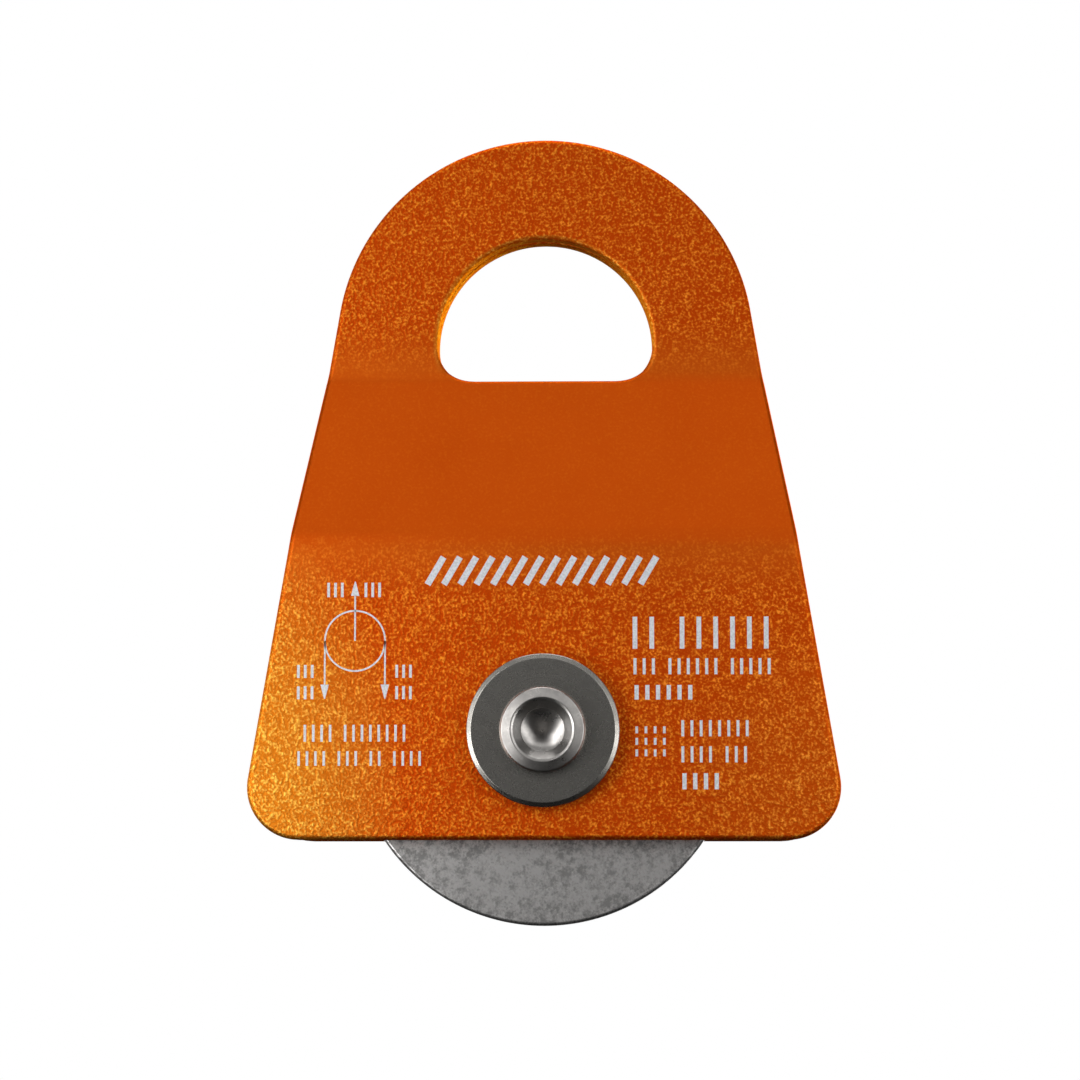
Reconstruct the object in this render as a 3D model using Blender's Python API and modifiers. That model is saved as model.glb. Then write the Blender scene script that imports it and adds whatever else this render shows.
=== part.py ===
"""Prusik-minding rope pulley: two swinging cheek plates, a ball-bearing sheave and a flared axle.

Metres, +Z up. The origin is the centre of the carabiner eye, the axle lies along Y below it, and
the front cheek plate is on the -Y side.
"""

import math

import bmesh
import bpy
import numpy as np
from mathutils import Matrix, Vector

# Cheek plates
PLATE_THICKNESS = 0.003
PLATE_EDGE_ROUND = 0.0007
PLATE_TOP_RADIUS = 0.0281
PLATE_TAPER = math.radians(9.66)
PLATE_SKIRT = 0.0142  # bottom edge, below the axle's centre
PLATE_CORNER_RADIUS = 0.0069
EYE_RADIUS = 0.01445
EYE_HEIGHT = 0.01965
EYE_CORNER_RADIUS = 0.005
EYE_HALF_GAP = 0.00015  # half the gap between the two plates at the eye
JOGGLE_HEIGHT = 0.02472
JOGGLE_OVER_FLOOR = 0.00157  # upper bend's start, above the eye's floor
JOGGLE_UNDER_RIM = 0.001425  # lower bend's end, below the top of the sheave's rim
BEND_RADIUS = 0.006  # of the plate's middle surface
CHEEK_CLEARANCE = 0.0008  # between each plate and the sheave

# Sheave
SHEAVE_RADIUS = 0.0254
TREAD_RADIUS = 0.0192
GROOVE_RADIUS = 0.0064
FLANGE_WALL = 0.0016  # at the groove's widest
RIM_ROUND = 0.0005

# Ball bearing
BEARING_BORE_RADIUS = 0.006
BEARING_OUTER_RADIUS = 0.014
BEARING_WIDTH = 0.008
BALL_RADIUS = 0.002381
BALL_COUNT = 8
RACE_SHOULDER = 0.0013  # each race's shoulder, from the pitch circle
CAGE_WALL = 0.0018
SHIELD_THICKNESS = 0.0003
SHIELD_LIP = 0.0006  # depth of the shield's seat in the outer race

# Retaining ring
RING_THICKNESS = 0.0012
RING_BITE = 0.0008  # how far the ring reaches past the sheave's bore
RING_WALL = 0.0019
RING_LUG = 0.0036
RING_MOUTH = math.radians(34)
RING_HOLE_RADIUS = 0.0008

# Axle and washers
AXLE_END_RADIUS = 0.005
LIP_RADIUS = 0.0056
LIP_HEIGHT = 0.0024
LIP_ROUND = 0.0008  # width and height of the bevel round the lip's crest
LIP_UNDERCUT = 0.0007  # height of the bevel under the lip
DRILL_RADIUS = 0.00285
DRILL_DEPTH = 0.0021
DRILL_CONE = math.radians(118)
DRILL_CHAMFER = 0.0011
WASHER_RADIUS = 0.010
WASHER_THICKNESS = 0.002
WASHER_CHAMFER = 0.0003
SPACER_WALL = 0.0019

FIT_GAP = 0.0003  # radial, between pieces that fit in or on each other
SEAT_GAP = 0.00025  # axial, between faces that rest on each other
MERGE = 0.000001

SHEAVE_WIDTH = 2 * (GROOVE_RADIUS + FLANGE_WALL)
EYE_FLOOR = -EYE_HEIGHT / 2
CROWN_CENTRE = EYE_HEIGHT / 2 - EYE_RADIUS  # of the eye's round top and of the plate's own
JOGGLE_TOP = EYE_FLOOR + JOGGLE_OVER_FLOOR
JOGGLE_BOTTOM = JOGGLE_TOP - JOGGLE_HEIGHT
AXLE_HEIGHT = JOGGLE_BOTTOM + JOGGLE_UNDER_RIM - SHEAVE_RADIUS
AXLE_CENTRE = Vector((0, 0, AXLE_HEIGHT))
UPPER_OFFSET = EYE_HALF_GAP + PLATE_THICKNESS / 2
LOWER_OFFSET = SHEAVE_WIDTH / 2 + CHEEK_CLEARANCE + PLATE_THICKNESS / 2
CHEEK_INNER = LOWER_OFFSET - PLATE_THICKNESS / 2
CHEEK_OUTER = LOWER_OFFSET + PLATE_THICKNESS / 2
WASHER_INNER = CHEEK_OUTER + SEAT_GAP
WASHER_OUTER = WASHER_INNER + WASHER_THICKNESS
LIP_INNER = WASHER_OUTER + SEAT_GAP
LIP_OUTER = LIP_INNER + LIP_HEIGHT
PITCH_RADIUS = (BEARING_BORE_RADIUS + BEARING_OUTER_RADIUS) / 2
BALL_TRACK = BALL_RADIUS + FIT_GAP
CAGE_WIDTH = BEARING_WIDTH - 2 * (SHIELD_THICKNESS + 2 * SEAT_GAP)
SEAT_RADIUS = BEARING_OUTER_RADIUS + FIT_GAP
RING_GROOVE_INNER = BEARING_WIDTH / 2 + SEAT_GAP
RING_GROOVE_OUTER = RING_GROOVE_INNER + RING_THICKNESS + 2 * SEAT_GAP


def clear_scene():
    """Removes whatever the file holds before the part is built."""
    for thing in list(bpy.data.objects):
        bpy.data.objects.remove(thing, do_unlink=True)


def new_collection(name):
    collection = bpy.data.collections.new(name)
    bpy.context.scene.collection.children.link(collection)
    return collection


def material(name, colour, roughness, metallic=1.0):
    made = bpy.data.materials.new(name)
    made.use_nodes = True
    shader = made.node_tree.nodes["Principled BSDF"]
    shader.inputs["Base Color"].default_value = (*colour, 1)
    shader.inputs["Roughness"].default_value = roughness
    shader.inputs["Metallic"].default_value = metallic
    made.diffuse_color = (*colour, 1)
    return made


def add_object(name, data, collection, finish=None, parent=None):
    piece = bpy.data.objects.new(name, data)
    collection.objects.link(piece)
    if finish:
        data.materials.append(finish)
    piece.parent = parent
    return piece


def axis_empty(name, collection):
    """An empty on the axle's centre line, which the pieces of one moving body hang from."""
    empty = add_object(name, None, collection)
    empty.location = AXLE_CENTRE
    empty.empty_display_size = SHEAVE_RADIUS / 2
    return empty


def smooth(mesh):
    mesh.shade_smooth()
    mesh.set_sharp_from_angle(angle=math.radians(35))


def arc(centre, radius, start, end, steps):
    """Points along a circle's arc from one angle to another, both ends included."""
    angles = np.linspace(start, end, steps + 1)
    return [(centre[0] + radius * math.cos(a), centre[1] + radius * math.sin(a)) for a in angles]


# Turned pieces. A profile is a list of (radius, height) points, and height points to the front.


def turned(name, profile, steps, collection, finish, parent, closed=True):
    """A solid of revolution about the axle's line, from a profile that runs down its outer side."""
    mesh = bpy.data.meshes.new(name)
    points = [(radius, 0, height) for radius, height in profile]
    count = len(points)
    edges = [(i, (i + 1) % count) for i in range(count if closed else count - 1)]
    mesh.from_pydata(points, edges, [])
    piece = add_object(name, mesh, collection, finish, parent)
    piece.rotation_euler = (math.pi / 2, 0, 0)
    screw = piece.modifiers.new("turn", "SCREW")
    screw.axis = "Z"
    screw.steps = steps
    screw.render_steps = steps
    screw.use_merge_vertices = True
    screw.merge_threshold = MERGE
    screw.use_smooth_shade = True
    return piece


def ring_profile(inner, outer, low, high, chamfer=0.0):
    """A rectangular section from the radius inner to outer, with its outer corners chamfered."""
    if not chamfer:
        return [(outer, high), (outer, low), (inner, low), (inner, high)]
    return [
        (outer - chamfer, high),
        (outer, high - chamfer),
        (outer, low + chamfer),
        (outer - chamfer, low),
        (inner, low),
        (inner, high),
    ]


def sheave_profile():
    """Rope groove outside; inside, a shoulder at the front and the ring's groove at the back."""
    half = SHEAVE_WIDTH / 2
    throat = TREAD_RADIUS + GROOVE_RADIUS
    reach = math.acos(max(0, (throat - SHEAVE_RADIUS) / GROOVE_RADIUS))
    groove = arc((throat, 0), GROOVE_RADIUS, math.pi - reach, math.pi + reach, 14)
    lip = GROOVE_RADIUS * math.sin(reach) + RIM_ROUND / 2
    rim = SHEAVE_RADIUS - RIM_ROUND
    front = arc((rim, half - RIM_ROUND), RIM_ROUND, math.pi / 2, 0, 2)
    back = arc((rim, RIM_ROUND - half), RIM_ROUND, 0, -math.pi / 2, 2)
    seat_front = BEARING_WIDTH / 2 + SEAT_GAP
    shoulder = BEARING_OUTER_RADIUS - RACE_SHOULDER
    ring_groove = SEAT_RADIUS + RING_BITE + FIT_GAP
    inside = [
        (SEAT_RADIUS + RIM_ROUND, -half),
        (SEAT_RADIUS, RIM_ROUND - half),
        (SEAT_RADIUS, -RING_GROOVE_OUTER),
        (ring_groove, -RING_GROOVE_OUTER),
        (ring_groove, -RING_GROOVE_INNER),
        (SEAT_RADIUS, -RING_GROOVE_INNER),
        (SEAT_RADIUS, seat_front),
        (shoulder, seat_front),
        (shoulder, half - RIM_ROUND),
        (shoulder + RIM_ROUND, half),
    ]
    return front + [(SHEAVE_RADIUS, lip)] + groove + [(SHEAVE_RADIUS, -lip)] + back + inside


def outer_race_profile():
    half = BEARING_WIDTH / 2
    shoulder = PITCH_RADIUS + RACE_SHOULDER
    seat = shoulder + SHIELD_LIP
    step = half - SHIELD_THICKNESS - SEAT_GAP
    reach = math.acos(RACE_SHOULDER / BALL_TRACK)
    track = arc((PITCH_RADIUS, 0), BALL_TRACK, -reach, reach, 8)
    outer = ring_profile(seat, BEARING_OUTER_RADIUS, -half, half, SHIELD_THICKNESS)[:5]
    return outer + [(seat, -step), (shoulder, -step)] + track + [(shoulder, step), (seat, step), (seat, half)]


def inner_race_profile():
    half = BEARING_WIDTH / 2
    shoulder = PITCH_RADIUS - RACE_SHOULDER
    bore = BEARING_BORE_RADIUS + FIT_GAP
    reach = math.acos(RACE_SHOULDER / BALL_TRACK)
    track = arc((PITCH_RADIUS, 0), BALL_TRACK, math.pi - reach, math.pi + reach, 8)
    return [(shoulder, half)] + track + [(shoulder, -half), (bore, -half), (bore, half)]


def axle_end():
    """One end's profile, from the drilled hole's tip out over the flared lip to the journal."""
    floor = LIP_OUTER - DRILL_DEPTH
    tip = floor - DRILL_RADIUS / math.tan(DRILL_CONE / 2)
    return [
        (0, tip),
        (DRILL_RADIUS, floor),
        (DRILL_RADIUS, LIP_OUTER - DRILL_CHAMFER),
        (DRILL_RADIUS + DRILL_CHAMFER, LIP_OUTER),
        (LIP_RADIUS - LIP_ROUND, LIP_OUTER),
        (LIP_RADIUS - LIP_ROUND / 4, LIP_OUTER - LIP_ROUND / 4),
        (LIP_RADIUS, LIP_OUTER - LIP_ROUND),
        (LIP_RADIUS, LIP_INNER + LIP_UNDERCUT),
        (AXLE_END_RADIUS, LIP_INNER),
        (AXLE_END_RADIUS, CHEEK_OUTER),
        (BEARING_BORE_RADIUS, CHEEK_OUTER),
    ]


def build_axle(collection, finish, parent):
    front = axle_end()
    back = [(radius, -height) for radius, height in reversed(front)]
    return turned("axle", front + back, 24, collection, finish, parent, closed=False)


def build_washers(collection, finish, parent):
    bore = AXLE_END_RADIUS + FIT_GAP
    for name, side in (("front_washer", 1), ("rear_washer", -1)):
        low, high = sorted((side * WASHER_INNER, side * WASHER_OUTER))
        profile = ring_profile(bore, WASHER_RADIUS, low, high, WASHER_CHAMFER)
        turned(name, profile, 36, collection, finish, parent)


def build_spacers(collection, finish, parent):
    bore = BEARING_BORE_RADIUS + FIT_GAP
    near = BEARING_WIDTH / 2 + SEAT_GAP
    far = CHEEK_INNER - SEAT_GAP
    for name, side in (("front_spacer", 1), ("rear_spacer", -1)):
        low, high = sorted((side * near, side * far))
        profile = ring_profile(bore, bore + SPACER_WALL, low, high)
        turned(name, profile, 24, collection, finish, parent)


def build_shields(collection, finish, parent):
    inner = PITCH_RADIUS - RACE_SHOULDER + FIT_GAP
    outer = PITCH_RADIUS + RACE_SHOULDER + SHIELD_LIP - FIT_GAP
    far = BEARING_WIDTH / 2
    for name, side in (("front_shield", 1), ("rear_shield", -1)):
        low, high = sorted((side * (far - SHIELD_THICKNESS), side * far))
        turned(name, ring_profile(inner, outer, low, high), 24, collection, finish, parent)


# The ball set


def ball_angles():
    return [2 * math.pi * i / BALL_COUNT for i in range(BALL_COUNT)]


def build_balls(collection, finish, parent):
    mesh = bpy.data.meshes.new("ball")
    form = bmesh.new()
    bmesh.ops.create_uvsphere(form, u_segments=12, v_segments=8, radius=BALL_RADIUS)
    form.to_mesh(mesh)
    form.free()
    mesh.shade_smooth()
    mesh.materials.append(finish)
    for number, angle in enumerate(ball_angles(), start=1):
        ball = add_object(f"ball_{number}", mesh, collection, parent=parent)
        ball.location = (PITCH_RADIUS * math.sin(angle), 0, PITCH_RADIUS * math.cos(angle))
        ball.rotation_euler = (math.pi / 2, 0, 0)


def build_cage(collection, cutters, finish, parent):
    """A ring with one round pocket for each ball, bored through from the centre outwards."""
    half = CAGE_WIDTH / 2
    inner = PITCH_RADIUS - CAGE_WALL / 2
    outer = PITCH_RADIUS + CAGE_WALL / 2
    cage = turned("bearing_cage", ring_profile(inner, outer, -half, half), 32, collection, finish, parent)
    form = bmesh.new()
    for angle in ball_angles():
        place = Matrix.Rotation(angle, 4, "Z") @ Matrix.Translation((0, PITCH_RADIUS, 0))
        turn = Matrix.Rotation(math.pi / 2, 4, "X")
        bmesh.ops.create_cone(
            form,
            cap_ends=True,
            segments=16,
            radius1=BALL_TRACK,
            radius2=BALL_TRACK,
            depth=3 * CAGE_WALL,
            matrix=place @ turn,
        )
    mesh = bpy.data.meshes.new("cage_pockets")
    form.to_mesh(mesh)
    form.free()
    pockets = add_object("cage_pockets", mesh, cutters, parent=parent)
    pockets.rotation_euler = cage.rotation_euler
    pockets.hide_render = True
    pockets.display_type = "WIRE"
    cut = cage.modifiers.new("ball pockets", "BOOLEAN")
    cut.operation = "DIFFERENCE"
    cut.solver = "EXACT"
    cut.object = pockets


# Flat blanks


def flat_curve(name, outlines, half_depth, edge_round, collection):
    """A filled 2D curve with one closed spline for each outline, edges rounded within its size."""
    curve = bpy.data.curves.new(name, "CURVE")
    curve.dimensions = "2D"
    curve.fill_mode = "BOTH"
    curve.extrude = half_depth - edge_round
    curve.bevel_depth = edge_round
    curve.bevel_resolution = 1 if edge_round else 0
    curve.offset = -edge_round
    for outline in outlines:
        spline = curve.splines.new("POLY")
        spline.points.add(len(outline) - 1)
        for point, (across, up) in zip(spline.points, outline):
            point.co = (across, up, 0, 1)
        spline.use_cyclic_u = True
    return add_object(name, curve, collection)


def mesh_from_curve(piece, name, collection, finish):
    """The curve as a welded mesh in an object of its own. The curve is removed."""
    graph = bpy.context.evaluated_depsgraph_get()
    mesh = bpy.data.meshes.new_from_object(piece.evaluated_get(graph))
    mesh.name = name
    curve = piece.data
    bpy.data.objects.remove(piece, do_unlink=True)
    bpy.data.curves.remove(curve)
    form = bmesh.new()
    form.from_mesh(mesh)
    bmesh.ops.remove_doubles(form, verts=form.verts, dist=MERGE)
    form.to_mesh(mesh)
    form.free()
    mesh.materials.clear()
    return add_object(name, mesh, collection, finish)


# The plates are drawn flat, as the blank they are pressed from: above the joggle a blank's point is
# as high as it is on the plate, and below it the joggle's slope makes the blank longer.


def joggle_lean():
    """Lean of the joggle's straight middle, whose two bends take up part of its height."""
    step = LOWER_OFFSET - UPPER_OFFSET
    spare = 2 * BEND_RADIUS - step
    return math.asin(2 * BEND_RADIUS / math.hypot(JOGGLE_HEIGHT, spare)) - math.atan2(spare, JOGGLE_HEIGHT)


def joggle_lengths():
    """(length of one bend, length of the slope between the bends) along the middle surface."""
    lean = joggle_lean()
    slope = (JOGGLE_HEIGHT - 2 * BEND_RADIUS * math.sin(lean)) / math.cos(lean)
    return BEND_RADIUS * lean, slope


def on_blank(height):
    """Where a height of the plate's lower flat lies on the blank."""
    bend, slope = joggle_lengths()
    return height - (2 * bend + slope - JOGGLE_HEIGHT)


def pressed(up):
    """(height, offset, lean) of the middle surface for a point of the blank."""
    lean = joggle_lean()
    bend, slope = joggle_lengths()
    down = JOGGLE_TOP - up
    if down <= 0:
        return up, UPPER_OFFSET, 0
    if down <= bend:
        angle = down / BEND_RADIUS
        height = JOGGLE_TOP - BEND_RADIUS * math.sin(angle)
        return height, UPPER_OFFSET + BEND_RADIUS * (1 - math.cos(angle)), angle
    if down <= bend + slope:
        height = JOGGLE_TOP - BEND_RADIUS * math.sin(lean) - (down - bend) * math.cos(lean)
        rise = BEND_RADIUS * (1 - math.cos(lean)) + (down - bend) * math.sin(lean)
        return height, UPPER_OFFSET + rise, lean
    if down <= 2 * bend + slope:
        angle = (2 * bend + slope - down) / BEND_RADIUS
        height = JOGGLE_BOTTOM + BEND_RADIUS * math.sin(angle)
        return height, LOWER_OFFSET - BEND_RADIUS * (1 - math.cos(angle)), angle
    return up + (2 * bend + slope - JOGGLE_HEIGHT), LOWER_OFFSET, 0


def plate_outline():
    """Round top, sides that lean out to the skirt, and two rounded bottom corners."""
    corner_up = on_blank(AXLE_HEIGHT - PLATE_SKIRT) + PLATE_CORNER_RADIUS
    spread = (CROWN_CENTRE - corner_up) * math.sin(PLATE_TAPER)
    across = (PLATE_TOP_RADIUS - PLATE_CORNER_RADIUS + spread) / math.cos(PLATE_TAPER)
    crown = arc((0, CROWN_CENTRE), PLATE_TOP_RADIUS, PLATE_TAPER, math.pi - PLATE_TAPER, 32)
    left = arc((-across, corner_up), PLATE_CORNER_RADIUS, math.pi - PLATE_TAPER, math.pi * 1.5, 6)
    right = arc((across, corner_up), PLATE_CORNER_RADIUS, -math.pi / 2, PLATE_TAPER, 6)
    return crown + left + right


def eye_outline():
    """The D-shaped carabiner eye: a round top over a flat floor."""
    side = EYE_RADIUS - EYE_CORNER_RADIUS
    corner_up = EYE_FLOOR + EYE_CORNER_RADIUS
    crown = arc((0, CROWN_CENTRE), EYE_RADIUS, 0, math.pi, 20)
    left = arc((-side, corner_up), EYE_CORNER_RADIUS, math.pi, math.pi * 1.5, 4)
    right = arc((side, corner_up), EYE_CORNER_RADIUS, -math.pi / 2, 0, 4)
    return crown + left + right


def axle_hole():
    """The plate's bore for the axle's journal."""
    centre = (0, on_blank(AXLE_HEIGHT))
    return arc(centre, BEARING_BORE_RADIUS + FIT_GAP, 0, 2 * math.pi, 24)[:-1]


def bend_lines(per_bend=3):
    """Places where the blank needs edges across it, so that it can follow the two bends."""
    bend, slope = joggle_lengths()
    steps = np.linspace(0, bend, per_bend + 1)
    return [*(JOGGLE_TOP - steps), *(JOGGLE_TOP - bend - slope - steps)]


def press_blank(mesh, side):
    """Cuts the flat blank across at each bend line, then presses it to the joggled shape."""
    form = bmesh.new()
    form.from_mesh(mesh)
    for line in bend_lines():
        bmesh.ops.bisect_plane(
            form,
            geom=form.verts[:] + form.edges[:] + form.faces[:],
            dist=MERGE,
            plane_co=(0, line, 0),
            plane_no=(0, 1, 0),
        )
    for vert in form.verts:
        across, up, through = vert.co
        height, offset, lean = pressed(up)
        outward = offset + through * math.cos(lean)
        vert.co = (across, side * outward, height + through * math.sin(lean))
    form.normal_update()
    bmesh.ops.recalc_face_normals(form, faces=form.faces[:])
    form.to_mesh(mesh)
    form.free()
    smooth(mesh)


def build_cheek_plate(name, side, collection, finish, parent=None):
    outlines = [plate_outline(), eye_outline(), axle_hole()]
    blank = flat_curve(name + "_blank", outlines, PLATE_THICKNESS / 2, PLATE_EDGE_ROUND, collection)
    plate = mesh_from_curve(blank, name, collection, finish)
    press_blank(plate.data, side)
    plate.data.transform(Matrix.Translation(-AXLE_CENTRE))
    plate.parent = parent
    if parent is None:
        plate.location = AXLE_CENTRE
    return plate


def build_retaining_ring(collection, finish, parent):
    """An internal circlip: an open ring with a lug and a plier hole at each end."""
    outer = SEAT_RADIUS + RING_BITE
    inner = outer - RING_WALL
    lug = outer - RING_LUG
    half = RING_MOUTH / 2
    turn = 2.6 * RING_HOLE_RADIUS / lug
    start = -math.pi / 2 + half
    end = math.pi * 1.5 - half
    outline = arc((0, 0), outer, start, end, 32)
    outline += arc((0, 0), lug, end, end - turn, 2)
    outline += arc((0, 0), inner, end - turn * 1.4, start + turn * 1.4, 24)
    outline += arc((0, 0), lug, start + turn, start, 2)
    middle = (lug + outer) / 2
    holes = [
        arc((middle * math.cos(a), middle * math.sin(a)), RING_HOLE_RADIUS, 0, 2 * math.pi, 10)[:-1]
        for a in (start + turn / 2, end - turn / 2)
    ]
    blank = flat_curve("ring_blank", [outline, *holes], RING_THICKNESS / 2, 0, collection)
    ring = mesh_from_curve(blank, "retaining_ring", collection, finish)
    ring.parent = parent
    ring.rotation_euler = (math.pi / 2, 0, 0)
    ring.location = (0, RING_GROOVE_INNER + SEAT_GAP + RING_THICKNESS / 2, 0)


def main():
    clear_scene()
    parts = new_collection("prusik_pulley")
    cutters = new_collection("cutters")
    anodised = material("orange_anodised_aluminium", (0.60, 0.10, 0.008), 0.35)
    sheave_metal = material("turned_aluminium", (0.42, 0.40, 0.385), 0.38)
    stainless = material("stainless_steel", (0.50, 0.49, 0.47), 0.30)
    axle_metal = material("polished_stainless_steel", (0.62, 0.61, 0.60), 0.18)
    bearing_metal = material("bearing_steel", (0.55, 0.55, 0.56), 0.12)
    cage_metal = material("cage_steel", (0.45, 0.43, 0.38), 0.35)

    axle_axis = axis_empty("axle_axis", parts)
    front_axis = axis_empty("front_plate_axis", parts)
    sheave_axis = axis_empty("sheave_axis", parts)
    ball_axis = axis_empty("ball_set_axis", parts)

    build_cheek_plate("rear_cheek_plate", 1, parts, anodised)
    build_cheek_plate("front_cheek_plate", -1, parts, anodised, front_axis)
    build_axle(parts, axle_metal, axle_axis)
    build_washers(parts, stainless, axle_axis)
    build_spacers(parts, stainless, axle_axis)
    turned("bearing_inner_race", inner_race_profile(), 24, parts, bearing_metal, axle_axis)
    turned("sheave", sheave_profile(), 40, parts, sheave_metal, sheave_axis)
    turned("bearing_outer_race", outer_race_profile(), 24, parts, bearing_metal, sheave_axis)
    build_shields(parts, stainless, sheave_axis)
    build_retaining_ring(parts, bearing_metal, sheave_axis)
    build_balls(parts, bearing_metal, ball_axis)
    build_cage(parts, cutters, cage_metal, ball_axis)


main()
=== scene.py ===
"""Looks of a Prusik-minding rope pulley: fine surfaces and finishes round the packed model.

Metres, +Z up. The origin is the centre of the carabiner eye, the axle lies along Y below it, and
the front cheek plate is on the -Y side. Every surface is worked out as whole numpy arrays.
"""

import math

import bpy
import numpy as np
from bpy.props import FloatProperty, FloatVectorProperty, PointerProperty
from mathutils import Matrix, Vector


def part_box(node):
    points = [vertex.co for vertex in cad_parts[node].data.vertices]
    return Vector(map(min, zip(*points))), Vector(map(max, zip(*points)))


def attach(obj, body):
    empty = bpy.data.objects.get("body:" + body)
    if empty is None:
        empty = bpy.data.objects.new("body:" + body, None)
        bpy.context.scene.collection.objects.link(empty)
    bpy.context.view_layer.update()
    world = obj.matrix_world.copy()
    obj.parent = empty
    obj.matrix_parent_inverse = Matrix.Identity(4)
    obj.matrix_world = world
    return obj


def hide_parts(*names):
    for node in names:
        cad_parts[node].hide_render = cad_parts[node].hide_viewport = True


bl_info = {
    "name": "Rope pulley looks",
    "version": (1, 0, 0),
    "blender": (4, 5, 0),
    "location": "3D View > Sidebar > Pulley",
    "description": "Cheek plates, sheave, axle, bearing and stage of a Prusik-minding rope pulley",
    "category": "Object",
}

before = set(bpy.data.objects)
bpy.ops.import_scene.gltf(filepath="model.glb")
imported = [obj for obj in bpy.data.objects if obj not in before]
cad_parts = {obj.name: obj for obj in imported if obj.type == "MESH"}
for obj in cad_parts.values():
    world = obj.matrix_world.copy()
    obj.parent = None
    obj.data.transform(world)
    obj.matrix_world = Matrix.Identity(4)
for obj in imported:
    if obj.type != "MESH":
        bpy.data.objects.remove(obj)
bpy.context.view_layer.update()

WELD = 1e-7  # points closer than this become one
WELD_SHIFT = 0.137  # keeps round coordinates off the edges of the welding cells
ROW_GAP = 2e-5  # least distance between two rows of a plate's grid
CLEARANCE = 0.00025  # gap between pieces that touch in a real pulley
QUARTER = math.pi / 2


def box_span(node, axis):
    """Lowest and highest coordinate of a packed node along one axis."""
    low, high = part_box(node)
    return float(low[axis]), float(high[axis])


def round_radius(node):
    """Radius of a packed node that is round about the axle."""
    low, high = box_span(node, 2)
    return (high - low) / 2


# Places that the packed model settles.
SHEAVE_LOW, SHEAVE_HIGH = box_span("sheave", 2)
AXLE_UP = (SHEAVE_LOW + SHEAVE_HIGH) / 2
RIM_RADIUS = round_radius("sheave")
RIM_FACE = box_span("sheave", 1)[1]
AXLE_END = box_span("axle", 1)[1]
AXLE_RADIUS = round_radius("axle")
PLATE_BOTTOM = box_span("rear_cheek_plate", 2)[0]
PLATE_NEAR, PLATE_FACE = box_span("rear_cheek_plate", 1)
WASHER_FACES = box_span("rear_washer", 1)
WASHER_RADIUS = round_radius("rear_washer")
SPACER_FACES = box_span("rear_spacer", 1)
SPACER_RADIUS = round_radius("rear_spacer")
SHIELD_FACES = box_span("rear_shield", 1)
SHIELD_RADIUS = round_radius("rear_shield")
BEARING_RADIUS = round_radius("bearing_outer_race")
BEARING_FACE = box_span("bearing_outer_race", 1)[1]


def length(name, description, default):
    """A size in metres for a settings group."""
    return FloatProperty(
        name=name, description=description, default=default, unit="LENGTH", precision=5, min=0.0
    )


def angle(name, description, degrees):
    """An angle for a settings group, its default given in degrees."""
    return FloatProperty(
        name=name, description=description, default=math.radians(degrees), subtype="ANGLE"
    )


def colour(name, description, default):
    """A linear colour for a settings group."""
    return FloatVectorProperty(
        name=name, description=description, default=default, size=3, min=0.0, max=1.0, subtype="COLOR"
    )


class PlateSettings(bpy.types.PropertyGroup):
    """Sizes, dye, painted glints and painted sheen of the two cheek plates."""

    thickness: length("Thickness", "Thickness of the sheet", 0.003)
    edge_round: length("Edge round", "Radius of the tumbled edges", 0.0007)
    crown_radius: length("Crown radius", "Radius of the round top", 0.0281)
    side_lean: angle("Side lean", "Lean of each side in the flat blank", 9.66)
    corner_radius: length("Corner radius", "Radius of the bottom corners", 0.0069)
    eye_radius: length("Eye radius", "Radius of the carabiner eye's round top", 0.01445)
    eye_height: length("Eye height", "Height of the carabiner eye", 0.01965)
    eye_corner: length("Eye corner", "Radius of the eye's two lower corners", 0.005)
    joggle_height: length("Joggle height", "Height that the S-bend takes up", 0.02472)
    joggle_over_floor: length("Joggle start", "Upper bend's start above the eye's floor", 0.00157)
    bend_radius: length("Bend radius", "Radius of both bends at mid-thickness", 0.006)
    bore_radius: length("Bore radius", "Radius of the bore for the axle", 0.0063)
    dye_deep: colour("Deep dye", "Dye between the glints", (0.58, 0.062, 0.0021))
    # painted highlight: the colour of the glints painted on the grain
    painted_glint_colour: colour("Painted glints", "Glints painted on the grain's facets", (1.0, 0.330, 0.0250))
    # painted light: a golden painted sheen for the lower corners and the eye's brim, and the glints painted
    # within it
    painted_sheen_colour: colour("Painted sheen", "Golden tone of the lower corners and the brim", (0.63, 0.190, 0.0095))
    painted_sheen_glints: colour("Painted sheen's glints", "Glints painted within the painted sheen", (1.0, 0.640, 0.1000))
    dye_edge: colour("Edge dye", "Dye seen at a glancing angle", (1.0, 0.520, 0.1300))
    grain: length("Grain", "Size of the blasted grain", 0.00034)


class MarkSettings(bpy.types.PropertyGroup):
    """Laser marks on the front plate, all of a plain generic design."""

    stroke: length("Stroke", "Width of a fine line", 0.00022)
    proud: length("Proud", "Height of a mark over the plate", 0.000015)
    tint: colour("Tint", "Colour of the marked surface", (0.72, 0.73, 0.76))


class SheaveSettings(bpy.types.PropertyGroup):
    """Sizes and metal of the sheave."""

    tread_radius: length("Tread radius", "Radius at the bottom of the groove", 0.0192)
    groove_radius: length("Groove radius", "Radius of the rope groove", 0.0064)
    rim_round: length("Rim round", "Radius of the rim's outer corners", 0.0005)
    seat_radius: length("Seat radius", "Radius of the bearing's seat", 0.0143)
    shoulder_radius: length("Shoulder radius", "Radius of the front shoulder's bore", 0.0127)
    ring_groove: length("Ring groove", "Radius of the retaining ring's groove", 0.0154)
    metal: colour("Metal", "Bare turned aluminium", (0.77, 0.752, 0.735))


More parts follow.
